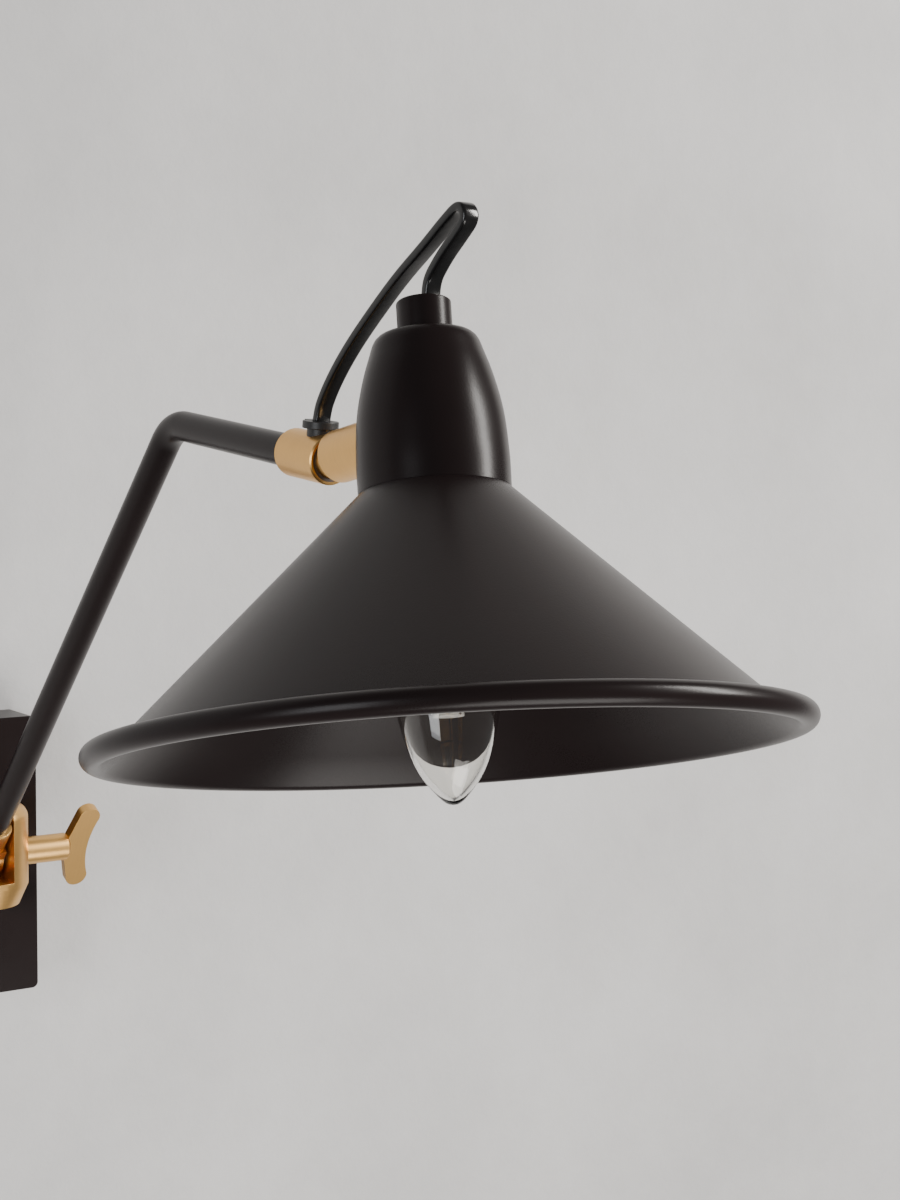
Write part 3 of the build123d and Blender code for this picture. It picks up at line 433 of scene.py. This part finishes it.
print("rim", [round(v, 2) for v in outer_meet], [round(v, 2) for v in inner_meet])
cone = lathe("spun_cone_shade", cone_outline, HEAD, BLACK, 192)
keep(cone, "head", "black_paint", "cone_shade")

# %% [markdown]
# ## The bent tube
# Near its outer end a shallow groove is turned into it, which the sleeve's grub screw rides in.
# The arm is one tube, bent once over a former, so it is a straight run, a quarter-round of 22 mm
# radius and another straight run. A section carried along those stations gives an even wall of faces,
# close together in the bend and far apart where the tube is straight.

# %% Carry a section along a line
def carried(name, stations, section, finish, sharp_angle=32.0):
    """Stations are (point, side, up) in metres; the section is a list of (side, up) in millimetres."""
    shape = bmesh.new()
    rings = [[shape.verts.new(point + side * (a * MM) + up * (b * MM)) for a, b in section]
             for point, side, up in stations]
    count = len(section)
    for low, high in zip(rings, rings[1:]):
        for k in range(count):
            shape.faces.new((low[k], low[(k + 1) % count], high[(k + 1) % count], high[k]))
    shape.faces.new(rings[0][::-1])
    shape.faces.new(rings[-1])
    bmesh.ops.recalc_face_normals(shape, faces=shape.faces)
    return object_from(name, shape, finish, sharp_angle)


# %% The arm tube
BEND_RADIUS, TUBE_RADIUS = 0.022, 6.0
turn_angle = radians(44.6 + 6.0)
set_back = BEND_RADIUS * sin(turn_angle / 2) / cos(turn_angle / 2)
bend_start = BEND - LOWER_WAY * set_back
across = Vector((1, 0, 0))
inside_way = across.cross(LOWER_WAY)
if inside_way.z > 0:
    inside_way = -inside_way
bend_middle = bend_start + inside_way * BEND_RADIUS
stations = [(PIVOT + LOWER_WAY * 0.0182, across, -inside_way)]
for step in range(25):
    turned = Matrix.Rotation(turn_angle * step / 24, 3, across) @ inside_way
    stations.append((bend_middle - turned * BEND_RADIUS, across, -turned))
GROOVE_START, GROOVE_END, GROOVE_DEPTH = 0.1015, 0.1049, 0.7
narrow = (TUBE_RADIUS - GROOVE_DEPTH) / TUBE_RADIUS
for reach_along, share in ((GROOVE_START, 1.0), (GROOVE_START, narrow), (GROOVE_END, narrow),
                           (GROOVE_END, 1.0), (0.108, 1.0)):
    stations.append((BEND + UPPER_WAY * reach_along, across * share, UPPER_UP * share))
circle = [(TUBE_RADIUS * cos(2 * pi * k / 48), TUBE_RADIUS * sin(2 * pi * k / 48)) for k in range(48)]
tube = carried("bent_arm_tube", stations, circle, BLACK)
keep(tube, "arm", "black_paint", "arm_tube")
print("end of the tube", [round(v, 4) for v in stations[-1][0]])

# %% [markdown]
# ## The candle bulb
# The glass is blown into a mould, so it is a turned outline too, with a real wall: light bends at both
# skins. The filament sticks, the cap's thread and the ribs of the shade ring repeat, so they
# come from Geometry Nodes below.

# %% Bulb glass
GLASS_TOP, TIP = -19.6, -98.6
glass_side = curve_through([(5.9, GLASS_TOP), (9.6, -28.6), (15.9, -43.6), (17.5, -57.6), (15.9, -71.6),
                            (11.6, -85.6), (5.8, -94.6), (0.0, TIP)], (0, -1), (-1, 0), 6)
last = len(glass_side) - 1
glass_inner = [(max(0.0, r - 0.8 - 0.5 * (t / last) ** 2 * (t < last)), h + 2.2 * (t / last) ** 3)
               for t, (r, h) in enumerate(glass_side)]
glass_inner = [p for p in glass_inner if p[0] > 0.0] + [(0.0, TIP + 2.2)]
glass_outline = [(0.0, GLASS_TOP)] + glass_side + glass_inner[::-1][:-1]
glass_outline += [(5.0, GLASS_TOP - 0.7), (0.0, GLASS_TOP - 0.7)]
glass = lathe("candle_glass", glass_outline, HEAD, GLASS, 96, closed=False)
keep(glass, "head", "bulb_glass", "bulb_glass")


# %% [markdown]
# ## Geometry Nodes for what repeats
# A thread is one wire wound round a cylinder, and a ring of ribs or sticks is one rod copied to the points
# of a circle. Each tree names its sizes as inputs, so the same tree makes several parts. The
# result is turned into a plain mesh, because instances don't survive an export.

# %% A small tree builder
def new_tree(name, sizes):
    """A Geometry Nodes tree with these named float inputs, and helpers to fill it."""
    tree = bpy.data.node_groups.new(name, "GeometryNodeTree")
    for size, value in sizes.items():
        socket = tree.interface.new_socket(size, in_out="INPUT", socket_type="NodeSocketFloat")
        socket.default_value = value
    tree.interface.new_socket("Finish", in_out="INPUT", socket_type="NodeSocketMaterial")
    tree.interface.new_socket("Geometry", in_out="OUTPUT", socket_type="NodeSocketGeometry")
    sizes_in = tree.nodes.new("NodeGroupInput")

    def put(kind, settings, inputs):
        made = tree.nodes.new(kind)
        for key, value in settings.items():
            setattr(made, key, value)
        for key, value in inputs.items():
            if isinstance(value, bpy.types.NodeSocket):
                tree.links.new(value, made.inputs[key])
            else:
                made.inputs[key].default_value = value
        return made

    def close(geometry):
        real = put("GeometryNodeRealizeInstances", {}, {"Geometry": geometry})
        smooth = put("GeometryNodeSetShadeSmooth", {}, {"Geometry": real.outputs["Geometry"]})
        coated = put("GeometryNodeSetMaterial", {}, {"Geometry": smooth.outputs["Geometry"],
                                                     "Material": sizes_in.outputs["Finish"]})
        out = tree.nodes.new("NodeGroupOutput")
        tree.links.new(coated.outputs["Geometry"], out.inputs["Geometry"])
    return tree, sizes_in.outputs, put, close


def grown(name, tree, values, finish, matrix):
    """Run a tree with these input values and return a plain mesh object put in place by the matrix."""
    seed = bpy.data.objects.new(name, bpy.data.meshes.new(name + "_seed"))
    bpy.context.scene.collection.objects.link(seed)
    grower = seed.modifiers.new("grow", "NODES")
    grower.node_group = tree
    for item in tree.interface.items_tree:
        if item.in_out == "INPUT" and item.name in values:
            grower[item.identifier] = values[item.name]
        if item.in_out == "INPUT" and item.name == "Finish":
            grower[item.identifier] = finish
    bpy.context.view_layer.update()
    made = bpy.data.meshes.new_from_object(seed.evaluated_get(bpy.context.evaluated_depsgraph_get()))
    seed.modifiers.clear()
    made.transform(matrix)
    made.set_sharp_from_angle(angle=radians(35))
    seed.data = made
    return seed


# %% The wound thread
thread_tree, size, put, close = new_tree("wound_thread", {"Turns": 5.0, "Radius": 0.0066, "Length": 0.014,
                                                          "Wire": 0.0006})
spiral = put("GeometryNodeCurveSpiral", {}, {"Resolution": 48, "Rotations": size["Turns"],
                                             "Start Radius": size["Radius"], "End Radius": size["Radius"],
                                             "Height": size["Length"]})
profile = put("GeometryNodeCurvePrimitiveCircle", {}, {"Resolution": 8, "Radius": size["Wire"]})
wound = put("GeometryNodeCurveToMesh", {}, {"Curve": spiral.outputs["Curve"],
                                            "Profile Curve": profile.outputs["Curve"], "Fill Caps": True})
close(wound.outputs["Mesh"])

cap_thread = grown("cap_thread", thread_tree, {"Turns": 5.0, "Radius": 0.0062, "Length": 0.0140,
                                               "Wire": 0.0006},
                   CAP_METAL, stand(NECK - SHADE_UP * 0.0186, SHADE_UP))
keep(cap_thread, "head", "cap_metal")

# %% The ring of rods
rod_tree, size, put, close = new_tree("ring_of_rods", {"Count": 4.0, "Ring": 0.0042, "Rod": 0.0009,
                                                       "Length": 0.028})
ring = put("GeometryNodeMeshCircle", {}, {"Vertices": size["Count"], "Radius": size["Ring"]})
rod = put("GeometryNodeMeshCylinder", {}, {"Vertices": 12, "Radius": size["Rod"], "Depth": size["Length"]})
copies = put("GeometryNodeInstanceOnPoints", {}, {"Points": ring.outputs["Mesh"],
                                                  "Instance": rod.outputs["Mesh"]})
close(copies.outputs["Instances"])

turned_45 = Matrix.Rotation(radians(45), 4, "Z")
sticks = grown("filament_sticks", rod_tree, {"Count": 4.0, "Ring": 0.0042, "Rod": 0.00088, "Length": 0.0278},
               PHOSPHOR, stand(NECK - SHADE_UP * 0.0561, SHADE_UP) @ turned_45)
keep(sticks, "head", "filament", "filaments")
ribs = grown("ring_grip_ribs", rod_tree, {"Count": 36.0, "Ring": 0.0196, "Rod": 0.0006, "Length": 0.0050},
             MOULDED, stand(NECK - SHADE_UP * 0.00295, SHADE_UP))
keep(ribs, "head", "black_plastic")

# %% [markdown]
# ## The flat cable
# A flat two-core cable leaves the grommet on the arm, rises past the bell, folds back on itself and goes
# down into the collar. Its middle line is a smooth spline with the fitted route's corners as control
# points, and a rounded flat section is carried along it. It bends between the sleeve and the head,
# because the shade's tilt works between its two ends.

# %% The cable's route
GROMMET_EXIT = Vector((0.0, -0.386896, 0.219959))
LOOP_ACROSS = Vector((0.084300, -0.996440, 0.0))
LOOP_SIDE = LOOP_ACROSS.cross(Vector((0, 0, 1)))
route = [(-0.56, -5.37), (0.4, 2.6), (4.6, 9.8), (12.0, 18.6), (21.4, 27.6), (33.4, 37.4), (46.4, 47.4),
         (60.0, 56.0), (70.2, 63.2), (78.6, 68.4), (82.0, 63.6), (75.6, 58.0), (68.0, 51.8), (60.33, 43.00),
         (62.50, 34.26)]
line = bpy.data.curves.new("cable_line", "CURVE")
line.dimensions = "3D"
spline = line.splines.new("NURBS")
spline.points.add(len(route) - 1)
for control, (out, up) in zip(spline.points, route):
    spot = GROMMET_EXIT + LOOP_ACROSS * (out * MM) + Vector((0, 0, up * MM))
    control.co = (*spot, 1.0)
spline.order_u = 3
spline.use_endpoint_u = True
spline.resolution_u = 14
line_object = bpy.data.objects.new("cable_line", line)
bpy.context.scene.collection.objects.link(line_object)
bpy.context.view_layer.update()
line_mesh = bpy.data.meshes.new_from_object(
    line_object.evaluated_get(bpy.context.evaluated_depsgraph_get()))
middle = [vertex.co.copy() for vertex in line_mesh.vertices]
bpy.data.objects.remove(line_object)
bpy.data.meshes.remove(line_mesh)
cable_length = sum((b - a).length for a, b in zip(middle, middle[1:]))
print("cable", len(middle), "points", round(cable_length * 1000, 1), "mm")

# %% The cable itself
HALF_WIDE, HALF_THICK, ROUND = 3.2, 1.6, 1.0
flat = []
for a, b, start in ((1, 1, 0), (-1, 1, 90), (-1, -1, 180), (1, -1, 270)):
    for step in range(5):
        angle = radians(start + 90 * step / 4)
        flat.append((a * (HALF_WIDE - ROUND) + ROUND * cos(angle), b * (HALF_THICK - ROUND) + ROUND * sin(angle)))
stations = []
for k, spot in enumerate(middle):
    way = (middle[min(k + 1, len(middle) - 1)] - middle[max(k - 1, 0)]).normalized()
    stations.append((spot, LOOP_SIDE, way.cross(LOOP_SIDE)))
cable = carried("flat_cable_loop", stations, flat, SHEATH, 60.0)
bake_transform(cable)
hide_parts("loop_cable")

# %% [markdown]
# ## Wall, light and camera
# The lamp hangs on a pale plastered wall. One large soft light from the upper right models the shade,
# a broad weak one fills from the left, and the pale world gives the metal something to reflect.

# %% The wall
wall_bench = Bench("pale_plaster")
wall_place = wall_bench.place()
plaster = wall_bench.noise(wall_place, 60.0, 6.0, 0.6)
clouds = wall_bench.noise(wall_place, 4.5, 3.0, 0.55)
PLASTER = wall_bench.finish({"Base Color": wall_bench.mix(clouds * 0.8 + plaster * 0.2, (0.46, 0.455, 0.452, 1), (0.80, 0.79, 0.785, 1)),
                             "Roughness": 0.85, "Normal": wall_bench.bump(plaster, 0.0008)})
sheet = bmesh.new()
bmesh.ops.create_grid(sheet, x_segments=2, y_segments=2, size=4.0)
bmesh.ops.transform(sheet, matrix=Matrix.Translation((0, 0.0006, 0)) @ Matrix.Rotation(radians(90), 4, "X"),
                    verts=sheet.verts)
wall = object_from("plaster_wall", sheet, PLASTER)


# %% Lights
def softbox(name, spot, aim, size, power, tint=(1.0, 0.97, 0.93)):
    lamp = bpy.data.lights.new(name, "AREA")
    lamp.shape, lamp.size, lamp.size_y = "RECTANGLE", size[0], size[1]
    lamp.energy, lamp.color = power, tint
    holder = bpy.data.objects.new(name, lamp)
    holder.location = spot
    holder.rotation_euler = (Vector(aim) - Vector(spot)).to_track_quat("-Z", "Y").to_euler()
    bpy.context.scene.collection.objects.link(holder)
    return holder


softbox("window_right", (1.7, -1.6, 1.0), (0.0, -0.35, 0.15), (0.42, 1.3), 71.0)
softbox("fill_left", (-1.9, -1.3, 0.15), (0.0, -0.3, 0.15), (0.8, 1.3), 20.0, (0.95, 0.97, 1.0))
softbox("bounce_low", (0.1, -1.3, -0.9), (0.0, -0.45, 0.12), (1.0, 0.8), 18.0)
world = bpy.data.worlds.new("pale_room")
world.use_nodes = True
world.node_tree.nodes["Background"].inputs["Color"].default_value = (0.86, 0.87, 0.88, 1)
world.node_tree.nodes["Background"].inputs["Strength"].default_value = 0.17
bpy.context.scene.world = world

# %% Camera
yaw, pitch, roll = radians(33.89), radians(-4.59), radians(0.43)
forward = Vector((sin(yaw) * cos(pitch), cos(yaw) * cos(pitch), sin(pitch)))
level = Vector((cos(yaw), -sin(yaw), 0.0))
upright = level.cross(forward)
right_way = level * cos(roll) + upright * sin(roll)
up_way = upright * cos(roll) - level * sin(roll)
lens = bpy.data.cameras.new("camera")
lens.sensor_fit, lens.sensor_width, lens.lens = "HORIZONTAL", 36.0, 80.0
lens.clip_start = 0.01
eye = bpy.data.objects.new("camera", lens)
turned = Matrix((right_way, up_way, -forward)).transposed().to_4x4()
eye.matrix_world = Matrix.Translation((-0.35287, -0.99387, 0.21392)) @ turned
bpy.context.scene.collection.objects.link(eye)
bpy.context.scene.camera = eye
